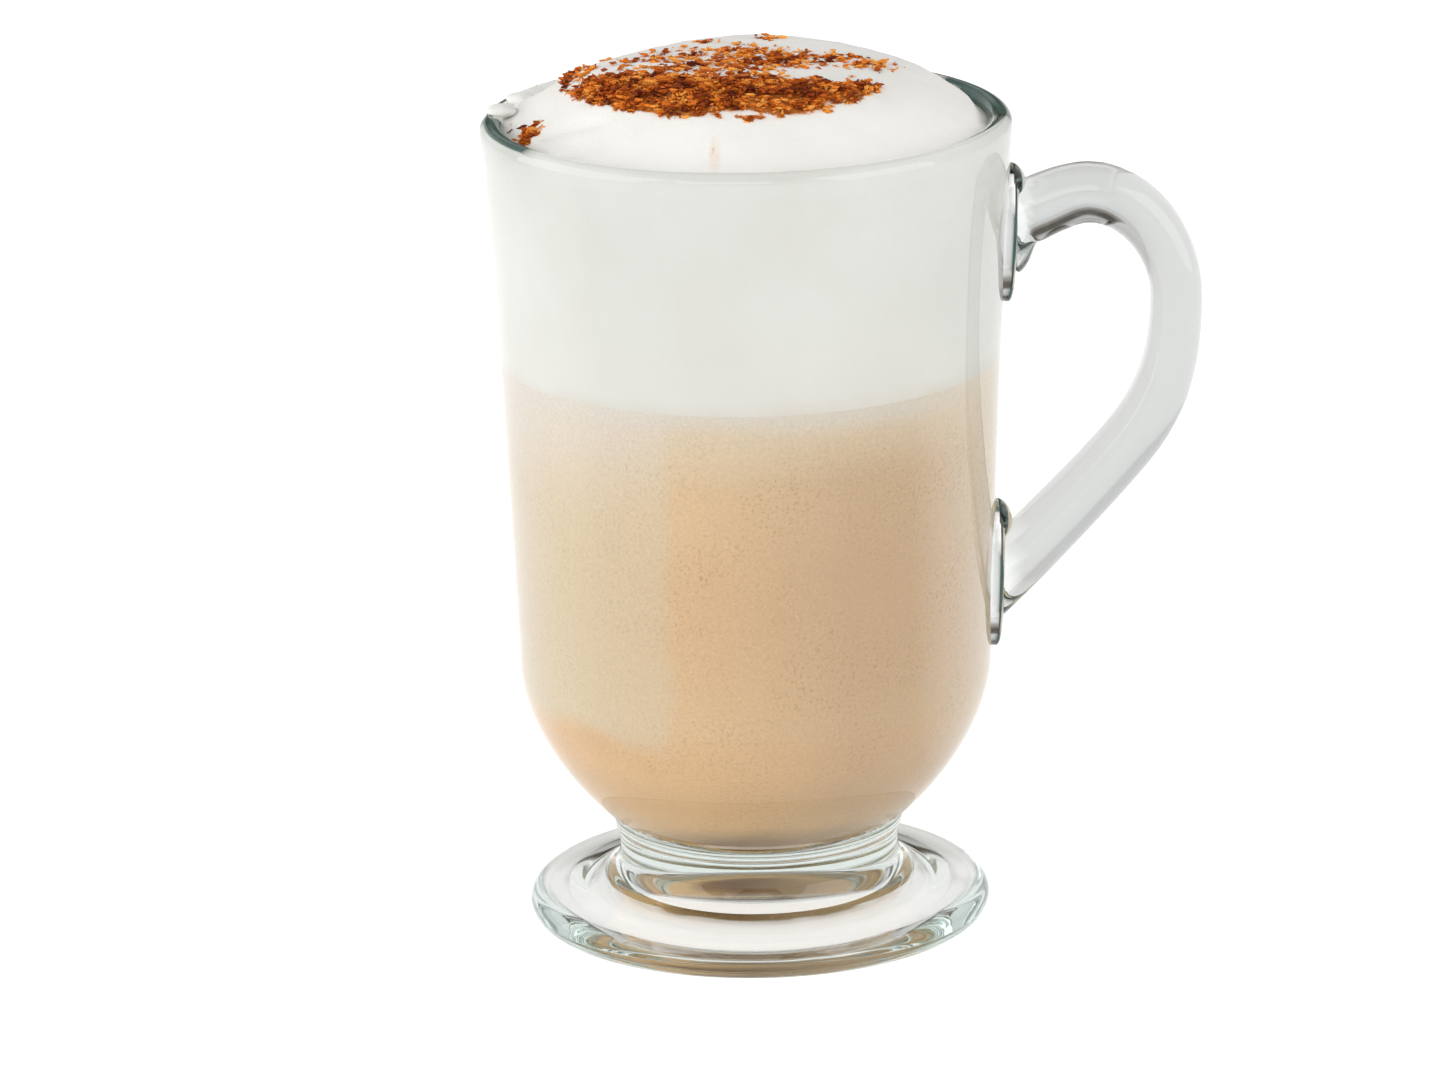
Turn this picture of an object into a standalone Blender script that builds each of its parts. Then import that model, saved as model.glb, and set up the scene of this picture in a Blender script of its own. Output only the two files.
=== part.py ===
"""A footed glass mug of cappuccino: one piece of pressed glass with a side handle,
milky coffee in its lower part, and milk foam that heaps over the rim under a dusting
of cinnamon. Lengths are in metres, and Z is up."""

import math
import random

import bmesh
import bpy
from mathutils import Vector, noise

MM = 0.001

# Bowl: its outer side flares gently above the shoulder and curves in below it.
RIM_HEIGHT = 123.3 * MM
RIM_ROUNDING = 1.7 * MM
SHOULDER_HEIGHT = 39.9 * MM
SHOULDER_RADIUS = 35.34 * MM
FLARE_SLOPE = 0.0306
FLARE_CURVE = 0.208
BOWL_BOTTOM_DEPTH = 33.3 * MM
BOWL_BOTTOM_POWER = 1.69
WALL = 3.55 * MM
INNER_SHOULDER_HEIGHT = 42.0 * MM
INNER_BOTTOM_HEIGHT = 20.5 * MM
INNER_BOTTOM_POWER = 2.3

# Stem and foot: a short solid stem with a bead under the bowl, and a round foot
# with a bullnose edge that stands on a flat ring round a hollow underside.
BEAD_TOP = 16.7 * MM
BEAD_RADIUS = 21.8 * MM
BEAD_BOTTOM = 14.1 * MM
NECK_RADIUS = 20.9 * MM
NECK_HEIGHT = 11.2 * MM
STEM_FOOT_RADIUS = 24.2 * MM
STEM_FOOT_HEIGHT = 6.9 * MM
FOOT_RADIUS = 34.6 * MM
FOOT_EDGE_HEIGHT = 5.5 * MM
FOOT_EDGE_DEPTH = 2.9 * MM
FOOT_RING_INNER = 27.0 * MM
PUNT_HEIGHT = 5.0 * MM

# Handle: a bent bar of rounded section whose ends are fused to pads on the wall.
HANDLE_WIDTH = 10.6 * MM
HANDLE_DEPTH = 8.7 * MM
HANDLE_SECTION_POWER = 2.6
HANDLE_REACH = 63.2 * MM
HANDLE_BEND_HEIGHT = 95.0 * MM
HANDLE_BEND_SWELL = 0.90
HANDLE_UPPER_ROOT = (36.2 * MM, 104.0 * MM)
HANDLE_UPPER_NECK = (41.0 * MM, 107.6 * MM)
HANDLE_CROWN = (50.3 * MM, 110.5 * MM)
HANDLE_KNEE = (56.1 * MM, 72.5 * MM)
HANDLE_LOWER_ROOT = (33.6 * MM, 49.0 * MM)
PAD_WIDTH = 13.0 * MM
PAD_PROUD = 1.7 * MM
PAD_BLUNTNESS = 0.4
UPPER_PAD = (94.4 * MM, 114.6 * MM)
LOWER_PAD = (41.4 * MM, 63.2 * MM)
KNOB_BELOW_TOP = 2.7 * MM
KNOB_SIZE = (2.6 * MM, 4.8 * MM, 3.2 * MM)

# Drink: the coffee fills the bowl to its level, and the foam stands on the coffee.
FIT_GAP = 0.3 * MM
COFFEE_LEVEL = 86.3 * MM
FOAM_EDGE_HEIGHT = 122.6 * MM
FOAM_RISE = 8.9 * MM
FOAM_REACH_POWER = 5.0
FOAM_CROWN_POWER = 2.0
FOAM_LEAN = 1.0 * MM
FOAM_WAVE = 0.5 * MM
FOAM_WAVE_LENGTH = 13.0 * MM
# A low shelf of foam beside the heap: its middle in plan, its rise and its spread.
FOAM_SHELF = (-31.0 * MM, 9.0 * MM, 1.2 * MM, 9.0 * MM)
LIP_RADIUS = 35.5 * MM
LIP_HEIGHT = 123.4 * MM
LIP_LENGTHENING = 1.5
LIP_FLATNESS = 0.5
# Each lump of foam on the rim: its way round, and its half width.
LIP_LUMPS = (
    (math.radians(179), 1.7 * MM),
    (math.radians(173), 2.2 * MM),
    (math.radians(167), 1.9 * MM),
    (math.radians(160), 1.5 * MM),
)

# Cinnamon: clots of powder on the front of the heap, and a streak by the rim.
CLOT_SIZES = (0.9 * MM, 2.2 * MM)
CLOT_SPACING = 1.3 * MM
CLOT_LIMIT = 26.0 * MM
# Each scatter of clots: how many, the middle in plan, and the spread along X and Y.
SCATTERS = (
    (66, (-2.5 * MM, -14.5 * MM), (11.5 * MM, 5.5 * MM)),
    (20, (0.0 * MM, 0.0 * MM), (12.0 * MM, 7.0 * MM)),
)
SIDE_CLOTS = 9
SIDE_CLOT_RADIUS = 33.2 * MM
SIDE_CLOT_ANGLES = (math.radians(184), math.radians(208))
SEED = 7

TURNED_STEPS = 48


def spaced(first, last, count):
    """Evenly spaced values from first to last, both ends included."""
    return [first + (last - first) * i / (count - 1) for i in range(count)]


def outer_radius(height):
    """The bowl's outer radius at a height above its bead."""
    above = height - SHOULDER_HEIGHT
    if above >= 0:
        return SHOULDER_RADIUS + FLARE_SLOPE * above + FLARE_CURVE * above**2
    share = -above / BOWL_BOTTOM_DEPTH
    return SHOULDER_RADIUS * (1 - share**BOWL_BOTTOM_POWER) ** (1 / BOWL_BOTTOM_POWER)


def inner_radius(height):
    """The radius of the bowl's inside at a height above its bottom."""
    if height >= INNER_SHOULDER_HEIGHT:
        return outer_radius(height) - WALL
    depth = INNER_SHOULDER_HEIGHT - INNER_BOTTOM_HEIGHT
    share = min(1.0, (INNER_SHOULDER_HEIGHT - height) / depth)
    widest = outer_radius(INNER_SHOULDER_HEIGHT) - WALL
    return widest * (1 - share**INNER_BOTTOM_POWER) ** (1 / INNER_BOTTOM_POWER)


def inner_curve(steps):
    """The inside's rounded bottom, from the axis up to the inner shoulder."""
    depth = INNER_SHOULDER_HEIGHT - INNER_BOTTOM_HEIGHT
    widest = outer_radius(INNER_SHOULDER_HEIGHT) - WALL
    points = []
    for angle in spaced(0, math.pi / 2, steps):
        radius = widest * math.sin(angle) ** (2 / INNER_BOTTOM_POWER)
        drop = depth * max(0.0, math.cos(angle)) ** (2 / INNER_BOTTOM_POWER)
        points.append((radius, INNER_SHOULDER_HEIGHT - drop))
    return points


def arc(centre, radii, first_degrees, last_degrees, count):
    """Points on an upright elliptical arc, as (radius, height)."""
    points = []
    for degrees in spaced(first_degrees, last_degrees, count):
        angle = math.radians(degrees)
        along = radii[0] * math.cos(angle)
        up = radii[1] * math.sin(angle)
        points.append((centre[0] + along, centre[1] + up))
    return points


def mug_profile():
    """The glass's half section, from the inside's lowest point over the rim,
    down the outside and back along the underside to the axis."""
    rim_base = RIM_HEIGHT - RIM_ROUNDING
    rim_middle = (outer_radius(rim_base) + inner_radius(rim_base)) / 2
    inside = inner_curve(8)
    inside += [(inner_radius(z), z) for z in spaced(INNER_SHOULDER_HEIGHT, rim_base, 6)[1:-1]]
    rim = arc((rim_middle, rim_base), (WALL / 2, RIM_ROUNDING), 180, 0, 9)
    outside = [(outer_radius(z), z) for z in spaced(rim_base, SHOULDER_HEIGHT, 7)[1:]]
    outside += [(outer_radius(z), z) for z in spaced(SHOULDER_HEIGHT, BEAD_TOP, 9)[1:]]
    stem = [
        (BEAD_RADIUS, (BEAD_TOP + BEAD_BOTTOM) / 2),
        (NECK_RADIUS + 0.3 * MM, BEAD_BOTTOM),
        (NECK_RADIUS, NECK_HEIGHT),
    ]
    sweep = (STEM_FOOT_RADIUS - NECK_RADIUS, NECK_HEIGHT - STEM_FOOT_HEIGHT)
    stem += arc((STEM_FOOT_RADIUS, NECK_HEIGHT), sweep, 200, 270, 4)
    edge = arc(
        (FOOT_RADIUS - FOOT_EDGE_DEPTH, FOOT_EDGE_HEIGHT / 2),
        (FOOT_EDGE_DEPTH, FOOT_EDGE_HEIGHT / 2),
        90,
        -90,
        9,
    )
    underside = []
    for share in (1.0, 0.95, 0.87, 0.72, 0.5, 0.25, 0.0):
        rise = PUNT_HEIGHT * (1 - share**2) ** 0.75
        underside.append((FOOT_RING_INNER * share, rise))
    return inside + rim + outside + stem + edge + underside


def turned(name, profile):
    """A solid of revolution about Z from a half section, with its modifier applied."""
    mesh = bpy.data.meshes.new(name)
    points = [(radius, 0, height) for radius, height in profile]
    edges = [(i, i + 1) for i in range(len(points) - 1)]
    mesh.from_pydata(points, edges, [])
    shape = bpy.data.objects.new(name, mesh)
    bpy.context.scene.collection.objects.link(shape)
    screw = shape.modifiers.new("turn", "SCREW")
    screw.steps = TURNED_STEPS
    screw.render_steps = TURNED_STEPS
    screw.use_merge_vertices = True
    screw.merge_threshold = 0.00001
    return as_mesh(shape)


def as_mesh(shape):
    """A mesh object that holds the evaluated shape, in the old object's place."""
    name = shape.name
    bpy.context.view_layer.update()
    graph = bpy.context.evaluated_depsgraph_get()
    mesh = bpy.data.meshes.new_from_object(shape.evaluated_get(graph))
    matrix = shape.matrix_world.copy()
    bpy.data.objects.remove(shape)
    made = bpy.data.objects.new(name, mesh)
    made.matrix_world = matrix
    bpy.context.scene.collection.objects.link(made)
    shaper = bmesh.new()
    shaper.from_mesh(mesh)
    bmesh.ops.remove_doubles(shaper, verts=shaper.verts, dist=0.000002)
    bmesh.ops.recalc_face_normals(shaper, faces=shaper.faces)
    shaper.to_mesh(mesh)
    shaper.free()
    return made


def joined(body, additions, solver):
    """The body with the additions fused on by one Boolean union."""
    group = bpy.data.collections.new("additions")
    bpy.context.scene.collection.children.link(group)
    for shape in additions:
        bpy.context.scene.collection.objects.unlink(shape)
        group.objects.link(shape)
    union = body.modifiers.new("fuse", "BOOLEAN")
    union.operation = "UNION"
    union.operand_type = "COLLECTION"
    union.collection = group
    union.solver = solver
    whole = as_mesh(body)
    for shape in additions:
        bpy.data.objects.remove(shape)
    bpy.data.collections.remove(group)
    return whole


def trimmed(body, cutter):
    """The body with the cutter's solid taken away."""
    cut = body.modifiers.new("trim", "BOOLEAN")
    cut.operation = "DIFFERENCE"
    cut.object = cutter
    cut.solver = "MANIFOLD"
    rest = as_mesh(body)
    bpy.data.objects.remove(cutter)
    return rest


def handle_section():
    """The closed outline of the handle's bar, a rounded oval, as a flat curve."""
    outline = bpy.data.curves.new("handle_section", "CURVE")
    outline.dimensions = "2D"
    spline = outline.splines.new("POLY")
    sides = 16
    spline.points.add(sides - 1)
    power = 2 / HANDLE_SECTION_POWER
    for i, point in enumerate(spline.points):
        angle = math.tau * i / sides
        across = math.copysign(abs(math.cos(angle)) ** power, math.cos(angle))
        along = math.copysign(abs(math.sin(angle)) ** power, math.sin(angle))
        point.co = (HANDLE_WIDTH / 2 * across, HANDLE_DEPTH / 2 * along, 0, 1)
    spline.use_cyclic_u = True
    shape = bpy.data.objects.new("handle_section", outline)
    shape.hide_render = True
    bpy.context.scene.collection.objects.link(shape)
    return shape


def handle_bar():
    """The bent bar, swept along a Bezier in the XZ plane and trimmed inside the wall."""
    # Each stop is a place, the way the bar runs there, how far its curve handles
    # reach back and ahead, and how much the section swells.
    stops = [
        (HANDLE_UPPER_ROOT, (0.80, 0.60), 1.0 * MM, 1.6 * MM, 1.50),
        (HANDLE_UPPER_NECK, (0.93, 0.37), 2.0 * MM, 3.2 * MM, 1.06),
        (HANDLE_CROWN, (1.0, 0.0), 3.2 * MM, 6.7 * MM, 1.0),
        ((HANDLE_REACH, HANDLE_BEND_HEIGHT), (0.0, -1.0), 8.0 * MM, 9.0 * MM, HANDLE_BEND_SWELL),
        (HANDLE_KNEE, (-0.63, -0.78), 8.5 * MM, 7.0 * MM, 0.98),
        (HANDLE_LOWER_ROOT, (-0.73, -0.68), 9.0 * MM, 1.0 * MM, 1.05),
    ]
    path = bpy.data.curves.new("handle", "CURVE")
    path.dimensions = "3D"
    path.resolution_u = 7
    spline = path.splines.new("BEZIER")
    spline.bezier_points.add(len(stops) - 1)
    for point, (place, way, before, after, swell) in zip(spline.bezier_points, stops):
        centre = Vector((place[0], 0, place[1]))
        ahead = Vector((way[0], 0, way[1])).normalized()
        point.handle_left_type = "FREE"
        point.handle_right_type = "FREE"
        point.co = centre
        point.handle_left = centre - ahead * before
        point.handle_right = centre + ahead * after
        point.radius = swell
    section = handle_section()
    path.bevel_mode = "OBJECT"
    path.bevel_object = section
    path.use_fill_caps = True
    path.twist_mode = "MINIMUM"
    bar = bpy.data.objects.new("handle", path)
    bpy.context.scene.collection.objects.link(bar)
    bar = as_mesh(bar)
    bpy.data.objects.remove(section)
    return trimmed(bar, wall_core())


def wall_core():
    """A plain solid out to the middle of the wall, to trim the handle's ends with."""
    heights = spaced(RIM_HEIGHT, SHOULDER_HEIGHT, 7)
    profile = [(0, RIM_HEIGHT)]
    profile += [(outer_radius(z) - WALL / 2, z) for z in heights]
    profile.append((0, SHOULDER_HEIGHT))
    return turned("wall_core", profile)


def pad(name, span):
    """A blunt oval pad that stands proud of the wall, where an end of the handle is fused."""
    middle = (span[0] + span[1]) / 2
    bpy.ops.mesh.primitive_uv_sphere_add(segments=16, ring_count=10, radius=1)
    shape = bpy.context.object
    shape.name = name
    for vertex in shape.data.vertices:
        vertex.co.x = math.copysign(abs(vertex.co.x) ** PAD_BLUNTNESS, vertex.co.x)
    lean = math.atan2(outer_radius(span[1]) - outer_radius(span[0]), span[1] - span[0])
    shape.scale = (PAD_PROUD, PAD_WIDTH / 2, (span[1] - span[0]) / 2)
    shape.rotation_euler = (0, lean, 0)
    shape.location = (outer_radius(middle), 0, middle)
    return as_mesh(shape)


def knob(name, span):
    """The blunt knob at a pad's top, left where the hot handle was pressed on."""
    height = span[1] - KNOB_BELOW_TOP
    bpy.ops.mesh.primitive_uv_sphere_add(segments=12, ring_count=8, radius=1)
    shape = bpy.context.object
    shape.name = name
    shape.scale = KNOB_SIZE
    shape.location = (outer_radius(height), 0, height)
    return as_mesh(shape)


def glass_mug():
    """The mug: bowl, stem and foot turned as one, with the handle fused on."""
    body = turned("glass_mug", mug_profile())
    additions = [handle_bar()]
    for name, span in (("upper", UPPER_PAD), ("lower", LOWER_PAD)):
        additions.append(pad(name + "_pad", span))
        additions.append(knob(name + "_knob", span))
    return joined(body, additions, "MANIFOLD")


def coffee():
    """The milky coffee, from the bowl's bottom up to its level."""
    profile = [(max(0.0, r - FIT_GAP * min(1.0, r / (5 * MM))), z + FIT_GAP) for r, z in inner_curve(8)]
    walls = spaced(INNER_SHOULDER_HEIGHT + FIT_GAP, COFFEE_LEVEL, 4)[1:]
    profile += [(inner_radius(z) - FIT_GAP, z) for z in walls]
    profile.append((0, COFFEE_LEVEL))
    return turned("coffee", profile[::-1])


def foam_rise(x, y):
    """How far the heap stands above the foam's edge at a place in plan."""
    reach = min(1.0, math.hypot(x, y) / inner_radius(FOAM_EDGE_HEIGHT))
    leaned = min(1.0, math.hypot(x - FOAM_LEAN, y) / inner_radius(FOAM_EDGE_HEIGHT))
    rise = FOAM_RISE * (1 - leaned**FOAM_REACH_POWER) ** FOAM_CROWN_POWER
    wave = noise.noise(Vector((x, y, 0)) / FOAM_WAVE_LENGTH)
    shelf_x, shelf_y, shelf_rise, spread = FOAM_SHELF
    shelf = shelf_rise * math.exp(-((x - shelf_x) ** 2 + (y - shelf_y) ** 2) / spread**2)
    return rise + FOAM_WAVE * wave * min(1.0, 6 * (1 - reach)) + shelf * min(1.0, 25 * (1 - reach))


def foam_blank():
    """The foam as turned: straight sides in the bowl and a flat top."""
    edge = inner_radius(FOAM_EDGE_HEIGHT) - FIT_GAP
    profile = [(0, FOAM_EDGE_HEIGHT)]
    angles = spaced(0, math.pi / 2, 14)[1:]
    profile += [(edge * math.sin(angle), FOAM_EDGE_HEIGHT) for angle in angles]
    walls = spaced(FOAM_EDGE_HEIGHT, COFFEE_LEVEL + FIT_GAP, 5)[1:]
    profile += [(inner_radius(z) - FIT_GAP, z) for z in walls]
    profile.append((0, COFFEE_LEVEL + FIT_GAP))
    return turned("milk_foam", profile)


def lip_lump(angle, size):
    """A lump of foam that laps over the rim."""
    bpy.ops.mesh.primitive_ico_sphere_add(subdivisions=2, radius=size)
    shape = bpy.context.object
    shape.name = "lip_lump"
    shape.scale = (LIP_LENGTHENING, 1.0, LIP_FLATNESS)
    shape.rotation_euler = (0, 0, angle)
    shape.location = (LIP_RADIUS * math.cos(angle), LIP_RADIUS * math.sin(angle), LIP_HEIGHT)
    return as_mesh(shape)


def rim_clearance():
    """The rim's own shape, a little larger: what foam over the rim must stay clear of."""
    gap = 0.95 * FIT_GAP
    base = RIM_HEIGHT - RIM_ROUNDING
    middle = (outer_radius(base) + inner_radius(base)) / 2
    over = arc((middle, base), (WALL / 2 + gap, RIM_ROUNDING + gap), 180, 0, 9)
    low = base - 6 * MM
    under = [(outer_radius(low) + gap, low), (inner_radius(low) - gap, low)]
    return turned("rim_clearance", over + under + over[:1])


def clot(place, size, spin, flatness):
    """One clot of powder, a squat lump of a few facets half sunk in the foam."""
    bpy.ops.mesh.primitive_ico_sphere_add(subdivisions=1, radius=size / 2)
    shape = bpy.context.object
    shape.name = "clot"
    shape.scale = (1.0, 0.75, flatness)
    shape.rotation_euler = (0, 0, spin)
    shape.location = place
    return as_mesh(shape)


def clot_places(draw):
    """Places in plan of the clots: those on the heap, then those by the rim."""
    places = []
    for count, middle, spread in SCATTERS:
        wanted = len(places) + count
        while len(places) < wanted:
            x = draw.gauss(middle[0], spread[0])
            y = draw.gauss(middle[1], spread[1])
            clear = all(math.hypot(x - a, y - b) > CLOT_SPACING for a, b in places)
            if clear and math.hypot(x, y) < CLOT_LIMIT:
                places.append((x, y))
    for angle in spaced(*SIDE_CLOT_ANGLES, SIDE_CLOTS):
        radius = SIDE_CLOT_RADIUS + draw.uniform(-0.8, 0.8) * MM
        places.append((radius * math.cos(angle), radius * math.sin(angle)))
    return places


def milk_foam():
    """The foam heaped over the rim, with the clots of cinnamon fused on."""
    body = foam_blank()
    for vertex in body.data.vertices:
        x, y, z = vertex.co
        if z > FOAM_EDGE_HEIGHT - 0.01 * MM:
            vertex.co.z += foam_rise(x, y)
    body = joined(body, [lip_lump(angle, size) for angle, size in LIP_LUMPS], "MANIFOLD")
    body = trimmed(body, rim_clearance())
    draw = random.Random(SEED)
    places = clot_places(draw)
    sizes = sorted((draw.uniform(*CLOT_SIZES) for _ in places), reverse=True)
    clots = []
    for (x, y), size in zip(places, sizes):
        height = FOAM_EDGE_HEIGHT + foam_rise(x, y)
        place = (x, y, height + 0.1 * size)
        clots.append(clot(place, size, draw.uniform(0, math.tau), draw.uniform(0.5, 0.7)))
    return joined(body, clots, "MANIFOLD")


def mug_axis_x():
    """Where the mug's own axis stands. The origin is the bottom centre of the whole
    object, so it is off the axis by half of what the handle reaches past the bowl."""
    handle_outside = HANDLE_REACH + HANDLE_BEND_SWELL * HANDLE_DEPTH / 2
    return (outer_radius(RIM_HEIGHT - RIM_ROUNDING) - handle_outside) / 2


def finish(shape, colour, roughness, alpha=1.0, transmission=0.0):
    """Gives a piece its material, and shades its round sides smooth."""
    material = bpy.data.materials.new(shape.name)
    material.use_nodes = True
    shader = material.node_tree.nodes["Principled BSDF"]
    shader.inputs["Base Color"].default_value = (*colour, 1)
    shader.inputs["Roughness"].default_value = roughness
    shader.inputs["Alpha"].default_value = alpha
    shader.inputs["Transmission Weight"].default_value = transmission
    shape.data.materials.clear()
    shape.data.materials.append(material)
    shape.data.shade_smooth()
    shape.data.set_sharp_from_angle(angle=math.radians(40))


def main():
    for old in list(bpy.data.objects):
        bpy.data.objects.remove(old)
    group = bpy.data.collections.new("cappuccino_mug")
    bpy.context.scene.collection.children.link(group)
    axis = bpy.data.objects.new("mug_axis", None)
    axis.location = (mug_axis_x(), 0, 0)
    group.objects.link(axis)
    glass = glass_mug()
    drink = coffee()
    foam = milk_foam()
    finish(glass, (0.86, 0.93, 0.90), 0.02, alpha=0.35, transmission=1.0)
    finish(drink, (0.62, 0.40, 0.22), 0.35)
    finish(foam, (0.90, 0.88, 0.82), 0.6)
    for shape in (glass, drink, foam):
        bpy.context.scene.collection.objects.unlink(shape)
        group.objects.link(shape)
        shape.parent = axis


main()
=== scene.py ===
"""The looks of a cappuccino in its footed glass mug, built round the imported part."""

import math
import random

import bmesh
import bpy
from mathutils import Matrix, Vector, noise


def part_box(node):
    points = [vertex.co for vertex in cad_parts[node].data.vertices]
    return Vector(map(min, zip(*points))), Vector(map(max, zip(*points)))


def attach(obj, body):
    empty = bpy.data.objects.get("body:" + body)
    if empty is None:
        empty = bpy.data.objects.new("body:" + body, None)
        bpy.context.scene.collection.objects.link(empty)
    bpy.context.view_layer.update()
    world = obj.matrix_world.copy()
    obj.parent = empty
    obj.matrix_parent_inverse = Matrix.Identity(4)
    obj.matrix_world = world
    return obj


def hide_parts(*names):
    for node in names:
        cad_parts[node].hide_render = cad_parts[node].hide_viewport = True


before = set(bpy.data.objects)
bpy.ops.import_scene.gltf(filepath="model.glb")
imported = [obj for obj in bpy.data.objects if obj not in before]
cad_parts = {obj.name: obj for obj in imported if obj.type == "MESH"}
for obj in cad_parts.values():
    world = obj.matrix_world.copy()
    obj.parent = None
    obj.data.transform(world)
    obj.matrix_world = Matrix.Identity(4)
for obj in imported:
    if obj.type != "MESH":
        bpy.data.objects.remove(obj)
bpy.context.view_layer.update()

# Glass mug
# Thick clear glass with a faint green tint. The bowl, short stem and round foot are
# pressed and turned as one; the handle is a bent bar whose hot ends were pressed on
# to two pads of the same glass.

MM = 0.001
RIM_HEIGHT = 123.3 * MM
RIM_ROUNDING = 1.7 * MM
WALL = 3.55 * MM
SHOULDER_HEIGHT = 39.9 * MM
SHOULDER_RADIUS = 35.34 * MM
FLARE_SLOPE = 0.0306
FLARE_CURVE = 0.208
BOWL_BOTTOM_DEPTH = 33.3 * MM
BOWL_BOTTOM_POWER = 1.69
INNER_SHOULDER_HEIGHT = 42.0 * MM
INNER_BOTTOM_HEIGHT = 20.5 * MM
INNER_BOTTOM_POWER = 2.3
BEAD_TOP = 16.7 * MM
BEAD_RADIUS = 21.8 * MM
BEAD_BOTTOM = 14.1 * MM
BEAD_BULGE = 0.7
BEAD_ANGLES = (62, -70)
NECK_RADIUS = 20.9 * MM
NECK_HEIGHT = 11.2 * MM
NECK_EASE = 0.1 * MM
NECK_DROP = 0.6 * MM
STEM_FOOT_RADIUS = 24.2 * MM
STEM_FOOT_HEIGHT = 6.9 * MM
STEM_ANGLES = (190, 270)
FOOT_RADIUS = 34.6 * MM
FOOT_EDGE_HEIGHT = 5.5 * MM
FOOT_EDGE_DEPTH = 2.9 * MM
FOOT_RING_INNER = 27.0 * MM
FOOT_RECESS = 1.6 * MM
PUNT_RADIUS = 17.0 * MM
PUNT_HEIGHT = 9.0 * MM
# The recess inside the foot's ring: shares of the ring's radius and of its depth.
RECESS_STEPS = ((1.0, 0.0), (0.96, 0.45), (0.9, 0.75), (0.8, 0.93))
PUNT_STEPS = (1.0, 0.97, 0.92, 0.86, 0.78, 0.68, 0.56, 0.43, 0.29, 0.15, 0.0)
BOTTOM_STEPS = 22
WALL_STEPS = 24
ROUND_STEPS = 19
BEAD_STEPS = 8
STEM_STEPS = 9
GLASS_STEPS = 144
WELD = 0.002 * MM
TURNED_CREASE = math.radians(40)

low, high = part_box("coffee")
AXIS_X = (low.x + high.x) / 2


def spaced(first, last, count):
    return [first + (last - first) * i / (count - 1) for i in range(count)]


def bowl_outside(height):
    above = height - SHOULDER_HEIGHT
    if above >= 0:
        return SHOULDER_RADIUS + FLARE_SLOPE * above + FLARE_CURVE * above**2
    share = -above / BOWL_BOTTOM_DEPTH
    return SHOULDER_RADIUS * (1 - share**BOWL_BOTTOM_POWER) ** (1 / BOWL_BOTTOM_POWER)


def bowl_inside(height):
    return bowl_outside(max(height, INNER_SHOULDER_HEIGHT)) - WALL


def rounded_bottom(steps, reach=0.0):
    """The bowl's inner bottom from the axis to its shoulder, pushed outwards by reach."""
    deep = INNER_SHOULDER_HEIGHT - INNER_BOTTOM_HEIGHT + reach
    wide = bowl_inside(INNER_SHOULDER_HEIGHT) + reach
    power = 2 / INNER_BOTTOM_POWER
    points = []
    for angle in spaced(0, math.pi / 2, steps):
        drop = deep * max(0.0, math.cos(angle)) ** power
        points.append((wide * math.sin(angle) ** power, INNER_SHOULDER_HEIGHT - drop))
    return points


def arc(centre, radii, angles, count):
    points = []
    for degrees in spaced(*angles, count):
        angle = math.radians(degrees)
        along = centre[0] + radii[0] * math.cos(angle)
        points.append((along, centre[1] + radii[1] * math.sin(angle)))
    return points


def mug_section():
    """The glass's half section, from the inside's lowest point round to the underside."""
    rim_base = RIM_HEIGHT - RIM_ROUNDING
    rim_middle = bowl_outside(rim_base) - WALL / 2
    section = rounded_bottom(BOTTOM_STEPS)
    inside = spaced(INNER_SHOULDER_HEIGHT, rim_base, WALL_STEPS)[1:-1]
    section += [(bowl_inside(z), z) for z in inside]
    section += arc((rim_middle, rim_base), (WALL / 2, RIM_ROUNDING), (180, 0), ROUND_STEPS)
    outside = spaced(rim_base, SHOULDER_HEIGHT, WALL_STEPS)[1:]
    outside += spaced(SHOULDER_HEIGHT, BEAD_TOP, BOTTOM_STEPS)[1:]
    section += [(bowl_outside(z), z) for z in outside]
    bead_half = (BEAD_TOP - BEAD_BOTTOM) / 2
    bead_wide = bead_half * BEAD_BULGE
    bead = (BEAD_RADIUS - bead_wide, (BEAD_TOP + BEAD_BOTTOM) / 2)
    section += arc(bead, (bead_wide, bead_half), BEAD_ANGLES, BEAD_STEPS)
    section.append((NECK_RADIUS + NECK_EASE, BEAD_BOTTOM - NECK_DROP))
    section.append((NECK_RADIUS, NECK_HEIGHT))
    sweep = (STEM_FOOT_RADIUS - NECK_RADIUS, NECK_HEIGHT - STEM_FOOT_HEIGHT)
    section += arc((STEM_FOOT_RADIUS, NECK_HEIGHT), sweep, STEM_ANGLES, STEM_STEPS)
    edge = (FOOT_RADIUS - FOOT_EDGE_DEPTH, FOOT_EDGE_HEIGHT / 2)
    section += arc(edge, (FOOT_EDGE_DEPTH, FOOT_EDGE_HEIGHT / 2), (90, -90), ROUND_STEPS)
    section += [(FOOT_RING_INNER * share, FOOT_RECESS * rise) for share, rise in RECESS_STEPS]
    dome = PUNT_HEIGHT - FOOT_RECESS
    section += [(PUNT_RADIUS * share, FOOT_RECESS + dome * (1 - share**2)) for share in PUNT_STEPS]
    return section


def turned(section, steps):
    """A bmesh of the section spun round the mug's axis into one closed skin."""
    shape = bmesh.new()
    corners = [shape.verts.new((AXIS_X + radius, 0, height)) for radius, height in section]
    sides = [shape.edges.new(pair) for pair in zip(corners, corners[1:])]
    bmesh.ops.spin(
        shape,
        geom=corners + sides,
        cent=(AXIS_X, 0, 0),
        axis=(0, 0, 1),
        angle=math.tau,
        steps=steps,
        use_merge=True,
    )
    bmesh.ops.remove_doubles(shape, verts=shape.verts, dist=WELD)
    bmesh.ops.recalc_face_normals(shape, faces=shape.faces)
    return shape


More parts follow.
